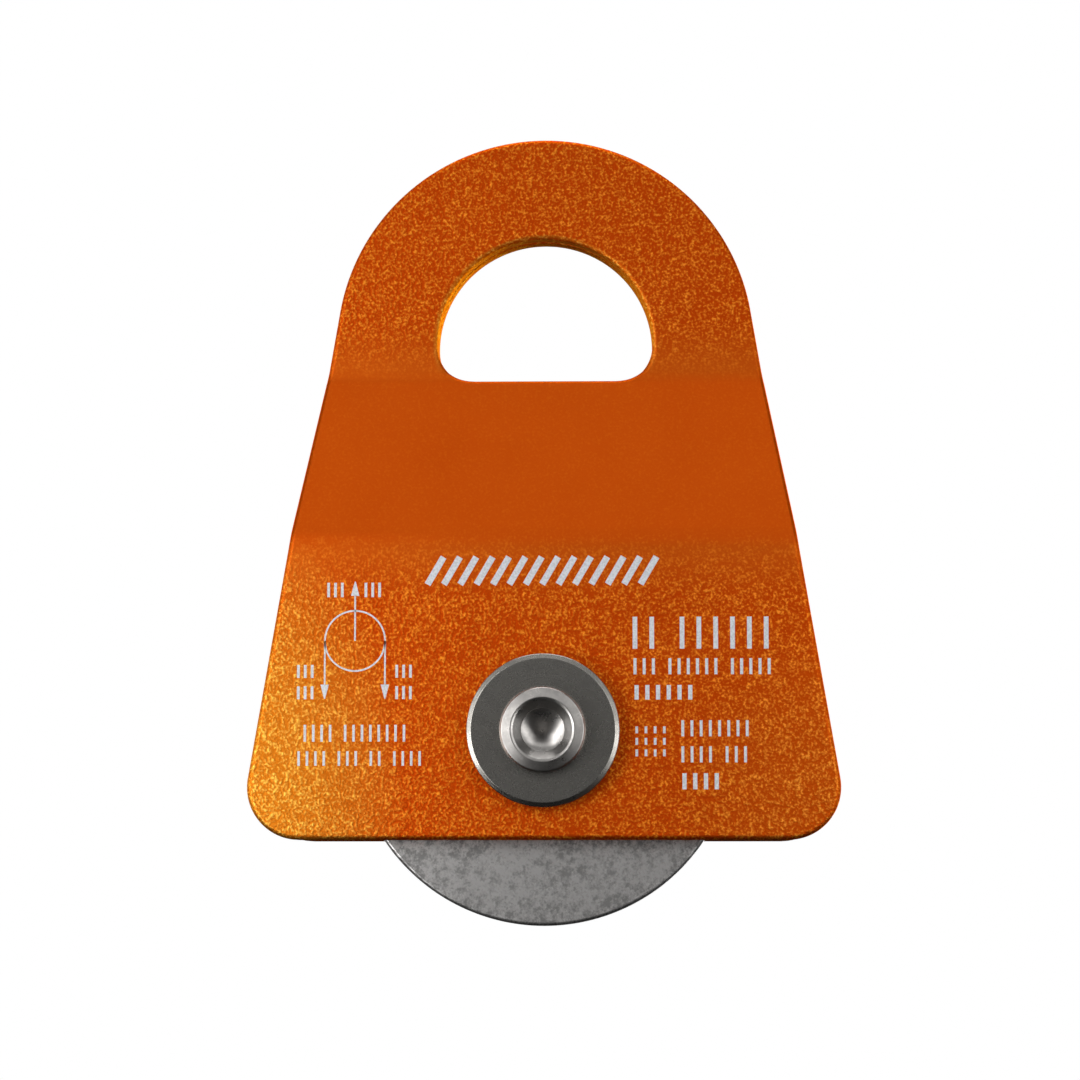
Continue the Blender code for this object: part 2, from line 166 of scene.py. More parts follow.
class AxleSettings(bpy.types.PropertyGroup):
    """Sizes and metal of the flared axle, its washers and the spacers."""

    end_radius: length("End radius", "Radius of the axle's two ends", 0.005)
    lip_radius: length("Lip radius", "Radius of the flared lip", 0.0056)
    drill_radius: length("Drill radius", "Radius of the hole in each end", 0.00285)
    drill_depth: length("Drill depth", "Depth of the hole, without its cone", 0.0021)
    drill_angle: angle("Drill angle", "Point angle of the hole's cone", 118)
    washer_chamfer: length("Washer chamfer", "Depth of the chamfer on the washers' rims", 0.0003)
    fit_gap: length("Fit gap", "Radial gap between pieces that fit together", 0.0003)
    polished: colour("Polished steel", "Steel of the axle", (0.46, 0.44, 0.42))
    satin: colour("Satin steel", "Steel of the washers", (0.40, 0.382, 0.350))


class BearingSettings(bpy.types.PropertyGroup):
    """Sizes and metal of the ball bearing."""

    pitch_radius: length("Pitch radius", "Radius of the circle of balls", 0.010)
    ball_radius: length("Ball radius", "Radius of a ball", 0.002381)
    shoulder: length("Shoulder", "Each race's shoulder from the pitch circle", 0.0013)
    shield_seat: length("Shield seat", "Depth of the shield's seat in the outer race", 0.0006)
    track_gap: length("Track gap", "Gap between the balls and their tracks", 0.0003)
    steel: colour("Bearing steel", "Ground and polished steel", (0.60, 0.60, 0.61))
    cage: colour("Cage steel", "Pressed steel of the cage and the retaining ring", (0.40, 0.38, 0.34))


class StageSettings(bpy.types.PropertyGroup):
    """Camera, floor and studio lights."""

    distance: length("Distance", "From the camera to the point it looks at", 0.45)
    camera_rise: angle("Camera rise", "How far the camera looks upwards", 5.66)
    camera_yaw: angle("Camera yaw", "How far the camera looks to the left", 1.52)
    floor: length("Floor", "Depth of the floor below the carabiner eye", 0.300)
    paper: colour("Paper", "Floor and backdrop", (1.0, 1.0, 1.0))


# Surfaces. A grid is an array of points, rows by columns, with the normal at each point.


class Shell:
    """Grids of points that together close one surface, welded into one mesh."""

    def __init__(self):
        self.points = []
        self.normals = []
        self.quads = []
        self.count = 0

    def add(self, points, normals):
        """Adds a grid; both arrays are rows by columns by 3."""
        rows, columns = points.shape[:2]
        row, column = np.meshgrid(np.arange(rows - 1), np.arange(columns - 1), indexing="ij")
        first = self.count + (row * columns + column).ravel()
        self.quads.append(np.stack([first, first + 1, first + columns + 1, first + columns], axis=1))
        self.points.append(points.reshape(-1, 3))
        self.normals.append(np.broadcast_to(normals, points.shape).reshape(-1, 3))
        self.count += rows * columns

    def mesh(self, name, crisp=False):
        """Welds points that coincide, turns each face to its normals and drops pinched corners.

        A crisp mesh keeps its flat faces; any other is shaded by the normals of its grids.
        """
        points = np.concatenate(self.points)
        normals = np.concatenate(self.normals)
        quads = np.concatenate(self.quads)
        cells = np.floor(points / WELD + WELD_SHIFT).astype(np.int64)
        _, first, place = np.unique(cells, axis=0, return_index=True, return_inverse=True)
        points = points[first]
        normals = normals[first]
        quads = place.reshape(-1)[quads]
        corners = points[quads]
        diagonals = np.cross(corners[:, 2] - corners[:, 0], corners[:, 3] - corners[:, 1])
        inward = np.einsum("ij,ij->i", diagonals, normals[quads].sum(axis=1)) < 0
        quads[inward] = quads[inward, ::-1]
        keep = quads != np.roll(quads, -1, axis=1)
        whole = keep.all(axis=1)
        pinched = [quad[kept] for quad, kept in zip(quads[~whole], keep[~whole])]
        faces = quads[whole].tolist() + [quad.tolist() for quad in pinched if len(set(quad)) > 2]
        mesh = bpy.data.meshes.new(name)
        mesh.from_pydata(points, [], faces)
        if crisp:
            mesh.shade_flat()
        else:
            mesh.shade_smooth()
            mesh.normals_split_custom_set_from_vertices(normals)
        return mesh


def place(name, mesh, finish, body, slot, *nodes):
    """Puts a mesh in the scene at the origin, riding on a body and standing for packed nodes."""
    piece = bpy.data.objects.new(name, mesh)
    bpy.context.scene.collection.objects.link(piece)
    mesh.materials.append(finish)
    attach(piece, body)
    if nodes:
        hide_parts(*nodes)
    return piece


def rounded(corners, radii, steps=5, closed=True):
    """Points and outward normals of a polygon whose corners are rounded.

    The corners run anticlockwise in (radius, height). Each gives way to an arc that starts
    radius x tan(turn / 2) before it, and the normal turns evenly along that arc. A corner of
    radius 0 stays one point, with the mean of its two sides' normals.
    """
    corner = np.asarray(corners, dtype=float)
    radius = np.broadcast_to(np.asarray(radii, dtype=float), len(corner))[:, None]
    before = corner - np.roll(corner, 1, axis=0)
    after = np.roll(corner, -1, axis=0) - corner
    if not closed:
        before[0] = after[0]
        after[-1] = before[-1]
    before /= np.linalg.norm(before, axis=1, keepdims=True)
    after /= np.linalg.norm(after, axis=1, keepdims=True)
    cross = before[:, 0] * after[:, 1] - before[:, 1] * after[:, 0]
    turn = np.arctan2(cross, (before * after).sum(axis=1))[:, None]
    start = corner - before * radius * np.tan(np.abs(turn) / 2)
    normal = np.stack([before[:, 1], -before[:, 0]], axis=1)
    centre = start - np.sign(turn) * radius * normal
    share = np.where(radius > 0, np.linspace(0, 1, steps + 1), 0.5)
    swing = turn * share
    cos, sin = np.cos(swing), np.sin(swing)
    normals = np.stack(
        [cos * normal[:, :1] - sin * normal[:, 1:], sin * normal[:, :1] + cos * normal[:, 1:]], axis=2
    )
    points = centre[:, None] + (np.sign(turn) * radius)[:, None] * normals
    points = np.where(radius[:, None] > 0, points, corner[:, None])
    return points.reshape(-1, 2), normals.reshape(-1, 2)


def turned(name, profile, closed=True, steps=160):
    """A mesh of a profile carried round the axle's line.

    A profile point (r, h) turned by an angle a lies at x = r sin a, y = -h, z = axle + r cos a.
    """
    points, normals = profile
    if closed:
        points = np.concatenate([points, points[:1]])
        normals = np.concatenate([normals, normals[:1]])
    around = np.linspace(0, 2 * math.pi, steps + 1)
    sin, cos = np.sin(around)[None], np.cos(around)[None]

    def carried(pairs):
        across, height = pairs[:, :1], pairs[:, 1:]
        return np.stack([across * sin, -height + 0 * sin, across * cos], axis=2)

    shell = Shell()
    shell.add(carried(points) + (0, 0, AXLE_UP), carried(normals))
    return shell.mesh(name)


def arc(centre, radius, start, end, steps):
    """Points of a profile's arc about (centre, 0), from one angle to another."""
    swing = np.linspace(start, end, steps)
    return np.stack([centre + radius * np.cos(swing), radius * np.sin(swing)], axis=1)


def ring(name, inner, outer, low, high, edge, chamfer=0.0):
    """A turned ring between two radii and two heights, with rounded edges.

    A chamfer cuts the rim's two corners by its own size in height and by twice that in radius.
    """
    if not chamfer:
        corners = [(outer, low), (outer, high), (inner, high), (inner, low)]
        return turned(name, rounded(corners, edge))
    corners = [
        (outer - 2 * chamfer, low),
        (outer, low + chamfer),
        (outer, high - chamfer),
        (outer - 2 * chamfer, high),
        (inner, high),
        (inner, low),
    ]
    return turned(name, rounded(corners, edge))


# Cheek plates. A plate is worked out on its flat blank (across, up, through) and then pressed.


class Blank:
    """The flat blank of a cheek plate, half of it, mirrored about the middle line."""

    def __init__(self, sizes):
        self.sizes = sizes
        self.floor = -sizes.eye_height / 2
        self.crown_up = sizes.eye_height / 2 - sizes.eye_radius
        self.joggle_top = self.floor + sizes.joggle_over_floor
        self.joggle_bottom = self.joggle_top - sizes.joggle_height
        self.upper = PLATE_NEAR + sizes.thickness / 2
        self.lower = PLATE_FACE - sizes.thickness / 2
        spare = 2 * sizes.bend_radius - (self.lower - self.upper)
        swing = math.asin(2 * sizes.bend_radius / math.hypot(sizes.joggle_height, spare))
        self.lean = swing - math.atan2(spare, sizes.joggle_height)
        self.bend = sizes.bend_radius * self.lean
        straight = sizes.joggle_height - 2 * sizes.bend_radius * math.sin(self.lean)
        self.slope = straight / math.cos(self.lean)
        self.stretch = 2 * self.bend + self.slope - sizes.joggle_height
        self.bore_up = AXLE_UP - self.stretch
        self.corner_up = PLATE_BOTTOM - self.stretch + sizes.corner_radius
        spread = (self.crown_up - self.corner_up) * math.sin(sizes.side_lean)
        reach = sizes.crown_radius - sizes.corner_radius + spread
        self.corner_across = reach / math.cos(sizes.side_lean)

    def side(self, up, inset):
        """Half-width at each height and the outward normal: round crown, lean side, round corner."""
        lean = self.sizes.side_lean
        crown = self.sizes.crown_radius - inset
        corner = self.sizes.corner_radius - inset
        crown_x = np.sqrt(np.maximum(crown**2 - (up - self.crown_up) ** 2, 0))
        corner_x = np.sqrt(np.maximum(corner**2 - (up - self.corner_up) ** 2, 0))
        line_x = (crown + (self.crown_up - up) * math.sin(lean)) / math.cos(lean)
        where = [up >= self.crown_up + crown * math.sin(lean), up <= self.corner_up + corner * math.sin(lean)]
        across = np.select(where, [crown_x, self.corner_across + corner_x], line_x)
        normal_x = np.select(where, [crown_x / crown, corner_x / corner], math.cos(lean))
        rise = [(up - self.crown_up) / crown, (up - self.corner_up) / corner]
        return across, np.stack([normal_x, np.select(where, rise, math.sin(lean))], axis=-1)

    def eye(self, up, outset):
        """Half-width of the eye at each height and the normal into it: round top, corners below."""
        radius = self.sizes.eye_radius + outset
        corner = self.sizes.eye_corner + outset
        corner_up = self.floor + self.sizes.eye_corner
        round_x = np.sqrt(np.maximum(radius**2 - (up - self.crown_up) ** 2, 0))
        corner_x = np.sqrt(np.maximum(corner**2 - (up - corner_up) ** 2, 0))
        where = [up >= self.crown_up, up <= corner_up]
        across = np.select(where, [round_x, radius - corner + corner_x], radius)
        normal_x = np.select(where, [-round_x / radius, -corner_x / corner], -1.0)
        rise = [(self.crown_up - up) / radius, (corner_up - up) / corner]
        return across, np.stack([normal_x, np.select(where, rise, 0.0)], axis=-1)

    def bore(self, up, outset):
        """Half-width of the axle's bore at each height and the normal into it, on one circle."""
        radius = self.sizes.bore_radius + outset
        across = np.sqrt(np.maximum(radius**2 - (up - self.bore_up) ** 2, 0))
        return across, np.stack([-across / radius, (self.bore_up - up) / radius], axis=-1)

    def press(self, across, up, through, normal):
        """Bends blank points and normals to the joggled shape.

        Going down the blank, the sheet keeps the upper flat's offset, turns out through one bend,
        runs straight at the lean, turns back through the other bend and keeps the lower offset.
        A point at a distance n from the middle surface moves by n along the surface's normal.
        """
        radius = self.sizes.bend_radius
        down = self.joggle_top - up
        first = np.clip(down, 0, self.bend) / radius
        run = np.clip(down - self.bend, 0, self.slope)
        second = self.lean - np.clip(down - self.bend - self.slope, 0, self.bend) / radius
        past = np.clip(down - 2 * self.bend - self.slope, 0, None)
        tilt = np.where(down > self.bend + self.slope, second, first)
        cos, sin = math.cos(self.lean), math.sin(self.lean)
        outward = radius * (1 - np.cos(first)) + run * sin + radius * (np.cos(second) - cos)
        drop = radius * np.sin(first) + run * cos + radius * (sin - np.sin(second)) + past
        height = np.where(down > 0, self.joggle_top - drop, up)
        points = [across, self.upper + outward + through * np.cos(tilt), height + through * np.sin(tilt)]
        n_across, n_up, n_through = np.moveaxis(normal, -1, 0)
        out = n_through * np.cos(tilt) - n_up * np.sin(tilt)
        rise = n_through * np.sin(tilt) + n_up * np.cos(tilt)
        return np.stack(points, axis=-1), np.stack([n_across + 0 * out, out, rise], axis=-1)


def rows_between(top, bottom, *heights):
    """Heights from top to bottom, both exact, with the given ones that lie clearly between."""
    inside = np.sort(np.concatenate(heights))[::-1]
    inside = inside[(inside < top - ROW_GAP) & (inside > bottom + ROW_GAP)]
    apart = np.abs(np.diff(inside)) > ROW_GAP
    spaced = inside[np.concatenate([[True], apart])] if len(inside) else inside
    return np.concatenate([[top], spaced, [bottom]])


def edge_wall(blank, path, normals, inset):
    """The plate's edge along one path: a quarter round, the wall and the other quarter round.

    At an angle f from the outer face the surface lies r sin f out from the inset path and
    r (1 - cos f) in from that face, and its normal leans over by f.
    """
    half = blank.sizes.thickness / 2
    quarter = np.linspace(0, QUARTER, 7)
    swing = np.concatenate([quarter, quarter + QUARTER])[None]
    level = np.repeat([half - inset, inset - half], len(quarter))[None]
    out = inset * np.sin(swing)
    across = path[:, :1] + normals[:, :1] * out
    up = path[:, 1:] + normals[:, 1:] * out
    through = level + inset * np.cos(swing) + 0 * across
    leaned = [normals[:, :1] * np.sin(swing), normals[:, 1:] * np.sin(swing), np.cos(swing) + 0 * across]
    return blank.press(across, up, through, np.stack(leaned, axis=-1))


def cheek_plate(name, sizes, facing):
    """A joggled plate with its eye and bore; facing is 1 for the rear plate, -1 for the front."""
    blank = Blank(sizes)
    inset = sizes.edge_round
    crown = sizes.crown_radius - inset
    eye = sizes.eye_radius + inset
    bore = sizes.bore_radius + inset
    corner = sizes.corner_radius - inset
    quarter = np.linspace(0, QUARTER, 41)
    bends = np.linspace(0, blank.bend, 15)
    heights = [
        blank.crown_up + crown * np.cos(quarter),
        blank.crown_up + eye * np.cos(quarter),
        blank.floor + sizes.eye_corner - (sizes.eye_corner + inset) * np.sin(quarter[::3]),
        blank.joggle_top - bends,
        blank.joggle_top - blank.bend - blank.slope - bends,
        blank.bore_up + bore * np.cos(2 * quarter),
        blank.corner_up + corner * np.sin(np.linspace(sizes.side_lean, -QUARTER, 25)),
    ]
    stops = [
        blank.crown_up + crown,
        blank.crown_up + eye,
        blank.floor - inset,
        blank.bore_up + bore,
        blank.bore_up - bore,
        blank.corner_up - corner,
    ]
    above, beside, between, around, below = [
        rows_between(top, bottom, *heights) for top, bottom in zip(stops[:-1], stops[1:])
    ]
    floor_across = sizes.eye_radius - sizes.eye_corner
    outer_share = np.linspace(0, 1, 7)[None]
    inner_share = np.linspace(0, 1, 5)[None]

    upper = np.concatenate([above, beside[1:]])
    lower = np.concatenate([between, around[1:], below[1:]])
    upper_out, upper_n = blank.side(upper, inset)
    lower_out, lower_n = blank.side(lower, inset)
    eye_x, eye_n = blank.eye(beside, inset)
    bore_x, bore_n = blank.bore(around, inset)
    upper_in = np.concatenate([0 * above[:-1], eye_x])
    lower_in = np.concatenate([0 * between[:-1], bore_x, 0 * below[1:]])
    upper_x = upper_in[:, None] + (upper_out - upper_in)[:, None] * outer_share
    inner_x = lower_in[:, None] + (floor_across - lower_in)[:, None] * inner_share
    outer_x = floor_across + (lower_out - floor_across)[:, None] * outer_share
    lower_x = np.concatenate([inner_x, outer_x[:, 1:]], axis=1)

    bottom_x = lower_x[-1, -2::-1]
    bottom = np.stack([bottom_x, np.full(len(bottom_x), stops[-1])], axis=1)
    rim = np.concatenate([np.stack([upper_out, upper], 1), np.stack([lower_out, lower], 1)[1:], bottom])
    rim_n = np.concatenate([upper_n, lower_n[1:], np.tile([0.0, -1.0], (len(bottom), 1))])
    floor_x = inner_x[0, -2::-1]
    floor = np.stack([floor_x, np.full(len(floor_x), stops[2])], axis=1)
    hole = np.concatenate([np.stack([eye_x, beside], 1), floor])
    hole_n = np.concatenate([eye_n, np.tile([0.0, 1.0], (len(floor), 1))])

    grids = [edge_wall(blank, rim, rim_n, inset), edge_wall(blank, hole, hole_n, inset)]
    grids.append(edge_wall(blank, np.stack([bore_x, around], 1), bore_n, inset))
    for through in (sizes.thickness / 2, -sizes.thickness / 2):
        for across, up in ((upper_x, upper), (lower_x, lower)):
            level = np.full(across.shape, through)
            normal = np.zeros((*across.shape, 3))
            normal[..., 2] = np.sign(through)
            grids.append(blank.press(across, up[:, None] + 0 * across, level, normal))
    shell = Shell()
    for points, normals in grids:
        for mirror in ((1, facing, 1), (-1, facing, 1)):
            shell.add(points * mirror, normals * mirror)
    return shell.mesh(name)


# Marks on the front plate: thin closed slabs on its lower flat, as (across, height) outlines.


def slabs(shell, outlines, proud):
    """Adds thin blocks over four-cornered outlines; outlines is an array of count by 4 by 2."""
    outlines = np.asarray(outlines, dtype=float)
    ends = np.array([-(PLATE_FACE + proud), -(PLATE_FACE - proud)])
    loop = np.concatenate([outlines, outlines[:, :1]], axis=1)
    middle = outlines.mean(axis=1, keepdims=True)
    for outline, centre in zip(loop, middle):
        flat = np.stack([outline[:, 0], 0 * outline[:, 0], outline[:, 1]], axis=1)
        hub = np.array([centre[0, 0], 0, centre[0, 1]])
        away = flat - hub
        walls = flat[:, None] + np.array([0, 1, 0]) * ends[None, :, None]
        shell.add(walls, np.broadcast_to(away[:, None], walls.shape))
        for end, facing in zip(ends, (-1, 1)):
            cap = flat[[0, 1, 3, 2]].reshape(2, 2, 3) + (0, end, 0)
            shell.add(cap, np.array([0, facing, 0]))


def stroke(start, end, width):
    """The outline of a straight stroke of a given width."""
    start, end = np.array(start), np.array(end)
    along = (end - start) / np.linalg.norm(end - start)
    aside = np.array([-along[1], along[0]]) * width / 2
    return [start - aside, end - aside, end + aside, start + aside]


def arrow_head(tip, size, up):
    """An arrow head 1.7 times as long as wide, its tip cut to 0.12 of its width: four corners."""
    across, height = tip
    half, blunt = size / 2, size * 0.06
    base = height - size * 1.7 * up
    return [(across - half, base), (across + half, base), (across + blunt, height), (across - blunt, height)]


def hoop(shell, centre, radius, width, proud, steps=72):
    """Adds a thin flat ring: a rectangle of width by 2 x proud carried round a circle."""
    around = np.linspace(0, 2 * math.pi, steps + 1)[:, None]
    inner, outer = radius - width / 2, radius + width / 2
    high, low = PLATE_FACE + proud, PLATE_FACE - proud
    for radii, levels, normal in (
        ((inner, outer), (high, high), (0, -1)),
        ((outer, outer), (high, low), (1, 0)),
        ((outer, inner), (low, low), (0, 1)),
        ((inner, inner), (low, high), (-1, 0)),
    ):
        reach = np.array([radii])
        level = -np.array([levels]) + 0 * around
        points = [centre[0] + reach * np.sin(around), level, centre[1] + reach * np.cos(around)]
        away = [normal[0] * np.sin(around), normal[1] + 0 * around, normal[0] * np.cos(around)]
        shell.add(np.stack(points, axis=-1), np.stack(away, axis=-1).repeat(2, axis=1).reshape(-1, 2, 3))


def ticks(left, pitch, middle, tall, width, groups):
    """A row of upright ticks a pitch apart, in groups of the given counts with a wider gap between."""
    counts = np.asarray(groups)
    place_in_row = np.arange(counts.sum()) + 0.8 * np.repeat(np.arange(len(counts)), counts)
    across = left + pitch * place_in_row
    return [stroke((x, middle - tall / 2), (x, middle + tall / 2), width) for x in across]


# Shader nodes


class Wire:
    """A shader value that takes part in Python arithmetic: each operator adds its Math node."""

    def __init__(self, finish, socket):
        self.finish = finish
        self.socket = socket

    def math(self, operation, *values):
        return self.finish.node("ShaderNodeMath", {"operation": operation}, dict(enumerate(values)))

    def __add__(self, other):
        return self.math("ADD", self, other)

    __radd__ = __add__

    def __sub__(self, other):
        return self.math("SUBTRACT", self, other)

    def __rsub__(self, other):
        return self.math("SUBTRACT", other, self)

    def __mul__(self, other):
        return self.math("MULTIPLY", self, other)

    __rmul__ = __mul__

    def __pow__(self, power):
        return self.math("POWER", self, power)

    def __rpow__(self, base):
        return self.math("POWER", base, self)


class Finish:
    """A material whose nodes are added one call at a time."""

    def __init__(self, name, **constants):
        self.material = bpy.data.materials.new(name)
        self.material.use_nodes = True
        self.tree = self.material.node_tree
        self.shader = self.tree.nodes["Principled BSDF"]
        for socket, value in constants.items():
            self.feed(self.shader.inputs[socket.replace("_", " ")], value)

    def feed(self, socket, value):
        """Links a wire to a socket, or sets the socket to a number, vector or colour."""
        if isinstance(value, Wire):
            self.tree.links.new(value.socket, socket)
        elif socket.type == "RGBA":
            socket.default_value = (*value, 1)
        else:
            socket.default_value = value

    def node(self, kind, settings, sockets, output=0):
        """Adds a node with its settings, then its sockets' values or links; gives one output."""
        made = self.tree.nodes.new(kind)
        for setting, value in settings.items():
            setattr(made, setting, value)
        for socket, value in sockets.items():
            self.feed(made.inputs[socket], value)
        return Wire(self, made.outputs[output])

    def place(self):
        """Object coordinates, in metres."""
        return self.node("ShaderNodeTexCoord", {}, {}, "Object")

    def noise(self, size, detail=2.0, where=None, roughness=0.5):
        """Noise from 0 to 1 whose features are about a size across."""
        sockets = {"Vector": where or self.place(), "Scale": 1 / size}
        sockets.update(Detail=detail, Roughness=roughness)
        return self.node("ShaderNodeTexNoise", {}, sockets)

    def spread(self, value, low, high, to_low=0.0, to_high=1.0):
        """Maps low..high to to_low..to_high and holds it there outside."""
        sockets = {"Value": value, 1: low, 2: high, 3: to_low, 4: to_high}
        return self.node("ShaderNodeMapRange", {"clamp": True}, sockets)

    def blend(self, factor, first, second):
        """Mixes two colours."""
        sockets = {"Factor": factor, 6: first, 7: second}
        return self.node("ShaderNodeMix", {"data_type": "RGBA"}, sockets, 2)

    def bump(self, height, distance, strength=1.0):
        """Bump of a height field whose full range is a distance in metres."""
        sockets = {"Height": height, "Distance": distance, "Strength": strength}
        self.feed(self.shader.inputs["Normal"], self.node("ShaderNodeBump", {}, sockets))

    def axis_distance(self):
        """Distance of a place from the axle's line."""
        centre = (0, 0, AXLE_UP)
        moved = self.node("ShaderNodeVectorMath", {"operation": "SUBTRACT"}, {0: self.place(), 1: centre})
        flat = self.node("ShaderNodeVectorMath", {"operation": "MULTIPLY"}, {0: moved, 1: (1, 0, 1)})
        return self.node("ShaderNodeVectorMath", {"operation": "LENGTH"}, {0: flat}, "Value")

    def turning(self, pitch):
        """Fine turned rings about the axle, with the uneven depth that a tool leaves."""
        radius = self.axis_distance()
        place = self.node("ShaderNodeCombineXYZ", {}, {"X": radius, "Y": 0.0, "Z": 0.0})
        return self.noise(pitch, 3.0, place, 0.6)

    def give(self, **sockets):
        """Feeds the shader's own sockets; returns the material."""
        for socket, value in sockets.items():
            self.feed(self.shader.inputs[socket.replace("_", " ")], value)
        return self.material


def anodised_finish(sizes):
    """Dyed anodising over a blasted surface, with glints painted on its grain except round the slope.

    Two sizes of noise are mixed, and what stands over a threshold is painted as a glint, by its
    height to the power of 1.7. Towards the slope between the two bends the painted glints fade to
    an even painted tone, and the slope itself is painted darker, as painted shade. Round the lower
    corners, most of all the one on a viewer's left, a golden painted sheen lies over the dye, and on
    the brim round the eye's top a golden painted highlight.
    """
    finish = Finish("orange_anodised", Metallic=1.0, Specular_Tint=tuple(sizes.dye_edge))
    blank = Blank(sizes)
    across, through, up = (
        finish.node("ShaderNodeSeparateXYZ", {}, {0: finish.place()}, axis) for axis in "XYZ"
    )

    def between_bends(out, past_top, past_bottom):
        """1 on the slope and 0 from a distance out on both flats, turning past each bend's start."""
        below = finish.spread(up, blank.joggle_top + out, blank.joggle_top - past_top)
        above = finish.spread(up, blank.joggle_bottom - out, blank.joggle_bottom + past_bottom)
        return below * above

    # glintless_band: round the slope the painted glints give way to an even painted tone and the bump
    # flattens; slope: the slope itself, painted darker as painted shade
    glintless_band = between_bends(out=0.0065, past_top=0.0010, past_bottom=0.0020)
    slope = between_bends(out=0.0004, past_top=0.0016, past_bottom=0.0016)
    fine = finish.noise(sizes.grain, 1.0)
    coarse = finish.noise(sizes.grain * 2.4, 1.0)
    # painted highlight: the grain's glints, painted into the base colour
    glint = finish.spread(fine * 0.75 + coarse * 0.25, 0.42, 0.70) ** 1.7
    cloud = finish.noise(0.010, 3.0)
    # the tone: painted glints, an even painted tone on the band, the slope painted darker as painted shade,
    # and a random cloud
    tone = glint * (1 - glintless_band * 0.92) + glintless_band * 0.20 - slope * 0.11 + (cloud - 0.5) * 0.06
    # the golden patches, a painted sheen at each lower corner, strongest on a viewer's left: their middle,
    # how far each reaches and where it is at its fullest
    patch_across, patch_up = 0.038, 0.006
    near_reach, far_reach, core = 0.0235, 0.020, 0.004
    side = across * through * (-1 / PLATE_FACE)
    height = up - (PLATE_BOTTOM + patch_up)
    near_side, far_side = side + patch_across, side - patch_across
    near = near_side * near_side * 1.4 + height * height * 0.45
    far = far_side * far_side + height * height
    far = finish.spread(far, far_reach**2, core**2) * 0.15
    corners = finish.spread(near, near_reach**2, core**2) * 0.9 + far
    # the brim, a painted highlight: inside the edge's round, and only beside and above the eye's centre
    rise = up - blank.crown_up
    outer, inner = (sizes.eye_radius + sizes.edge_round) ** 2, (sizes.eye_radius + 0.0002) ** 2
    brim = finish.spread(across * across + rise * rise, outer, inner)
    painted_sheen = corners + brim * finish.spread(rise, -0.004, 0.001) * 0.8
    full = finish.blend(tone, tuple(sizes.dye_deep), tuple(sizes.painted_glint_colour))
    pale = finish.blend(tone, tuple(sizes.painted_sheen_colour), tuple(sizes.painted_sheen_glints))
    finish.bump(fine * (1 - glintless_band * 0.85), sizes.grain * 0.26, 0.8)
    # the base colour: the dye with its painted glints, under the painted sheen of the corners and the painted
    # highlight of the brim
    dye = finish.blend(painted_sheen, full, pale)
    return finish.give(Base_Color=dye, Roughness=0.53 - slope * 0.07 + (cloud - 0.5) * 0.05)


def marked_finish(sizes):
    """Laser-marked anodising: pale, matt and slightly speckled."""
    finish = Finish("laser_marked", Metallic=0.25)
    speckle = finish.noise(0.00025, 2.0)
    low = tuple(part * 0.78 for part in sizes.tint)
    tint = finish.blend(finish.spread(speckle, 0.35, 0.6), low, tuple(sizes.tint))
    return finish.give(Base_Color=tint, Roughness=0.6 + speckle * 0.1)


def sheave_finish(sizes):
    """Turned aluminium, mottled in patches on its faces and worn clean in the groove."""
    finish = Finish("turned_aluminium", Metallic=1.0)
    patch = finish.noise(0.0011, 4.0, roughness=0.7)
    mottle = finish.noise(0.00030, 1.0)
    cloud = finish.noise(0.009, 2.0)
    lines = finish.turning(0.00035)
    dull = finish.spread(patch * 0.6 + mottle * 0.2 + cloud * 0.2, 0.43, 0.57)
    through = finish.node("ShaderNodeSeparateXYZ", {}, {0: finish.place()}, "Y")
    face = finish.spread(through * through, (RIM_FACE - 0.0012) ** 2, (RIM_FACE - 0.0004) ** 2)
    dull = (dull - 0.7) * (face * 0.65 + 0.35) + 0.7
    low = tuple(part * 0.33 for part in sizes.metal)
    metal = finish.blend(dull, low, tuple(sizes.metal))
    finish.bump(lines * 0.5 + patch * 0.5, 0.00005, 0.7)
    return finish.give(Base_Color=metal, Roughness=finish.spread(dull, 0.0, 1.0, 0.46, 0.34))


def steel_finish(name, tint, roughness, ring_pitch, depth):
    """Turned stainless steel: fine rings about the axle, with faint marks and specks of wear."""
    finish = Finish(name, Metallic=1.0)
    rings = finish.turning(ring_pitch)
    wear = finish.noise(0.0016, 4.0, roughness=0.65)
    speck = finish.spread(finish.noise(0.00035, 1.0), 0.62, 0.78)
    low = tuple(part * 0.74 for part in tint)
    metal = finish.blend(finish.spread(wear, 0.35, 0.62) + speck * 0.6, low, tuple(tint))
    finish.bump(rings, depth)
    rough = finish.spread(wear, 0.3, 0.7, roughness * 1.15, roughness * 0.85)
    return finish.give(Base_Color=metal, Roughness=rough)


class PULLEY_OT_cheek_plates(bpy.types.Operator):
    """Makes both cheek plates in anodised aluminium"""

    bl_idname = "pulley.cheek_plates"
    bl_label = "Cheek plates"

    def execute(self, context):
        sizes = context.scene.pulley_plate
        finish = anodised_finish(sizes)
        for which, facing in (("front", -1), ("rear", 1)):
            body, node = f"{which}_plate", f"{which}_cheek_plate"
            mesh = cheek_plate(body, sizes, facing)
            place(f"{body}_pressed", mesh, finish, body, "anodised_plate", node)
        return {"FINISHED"}


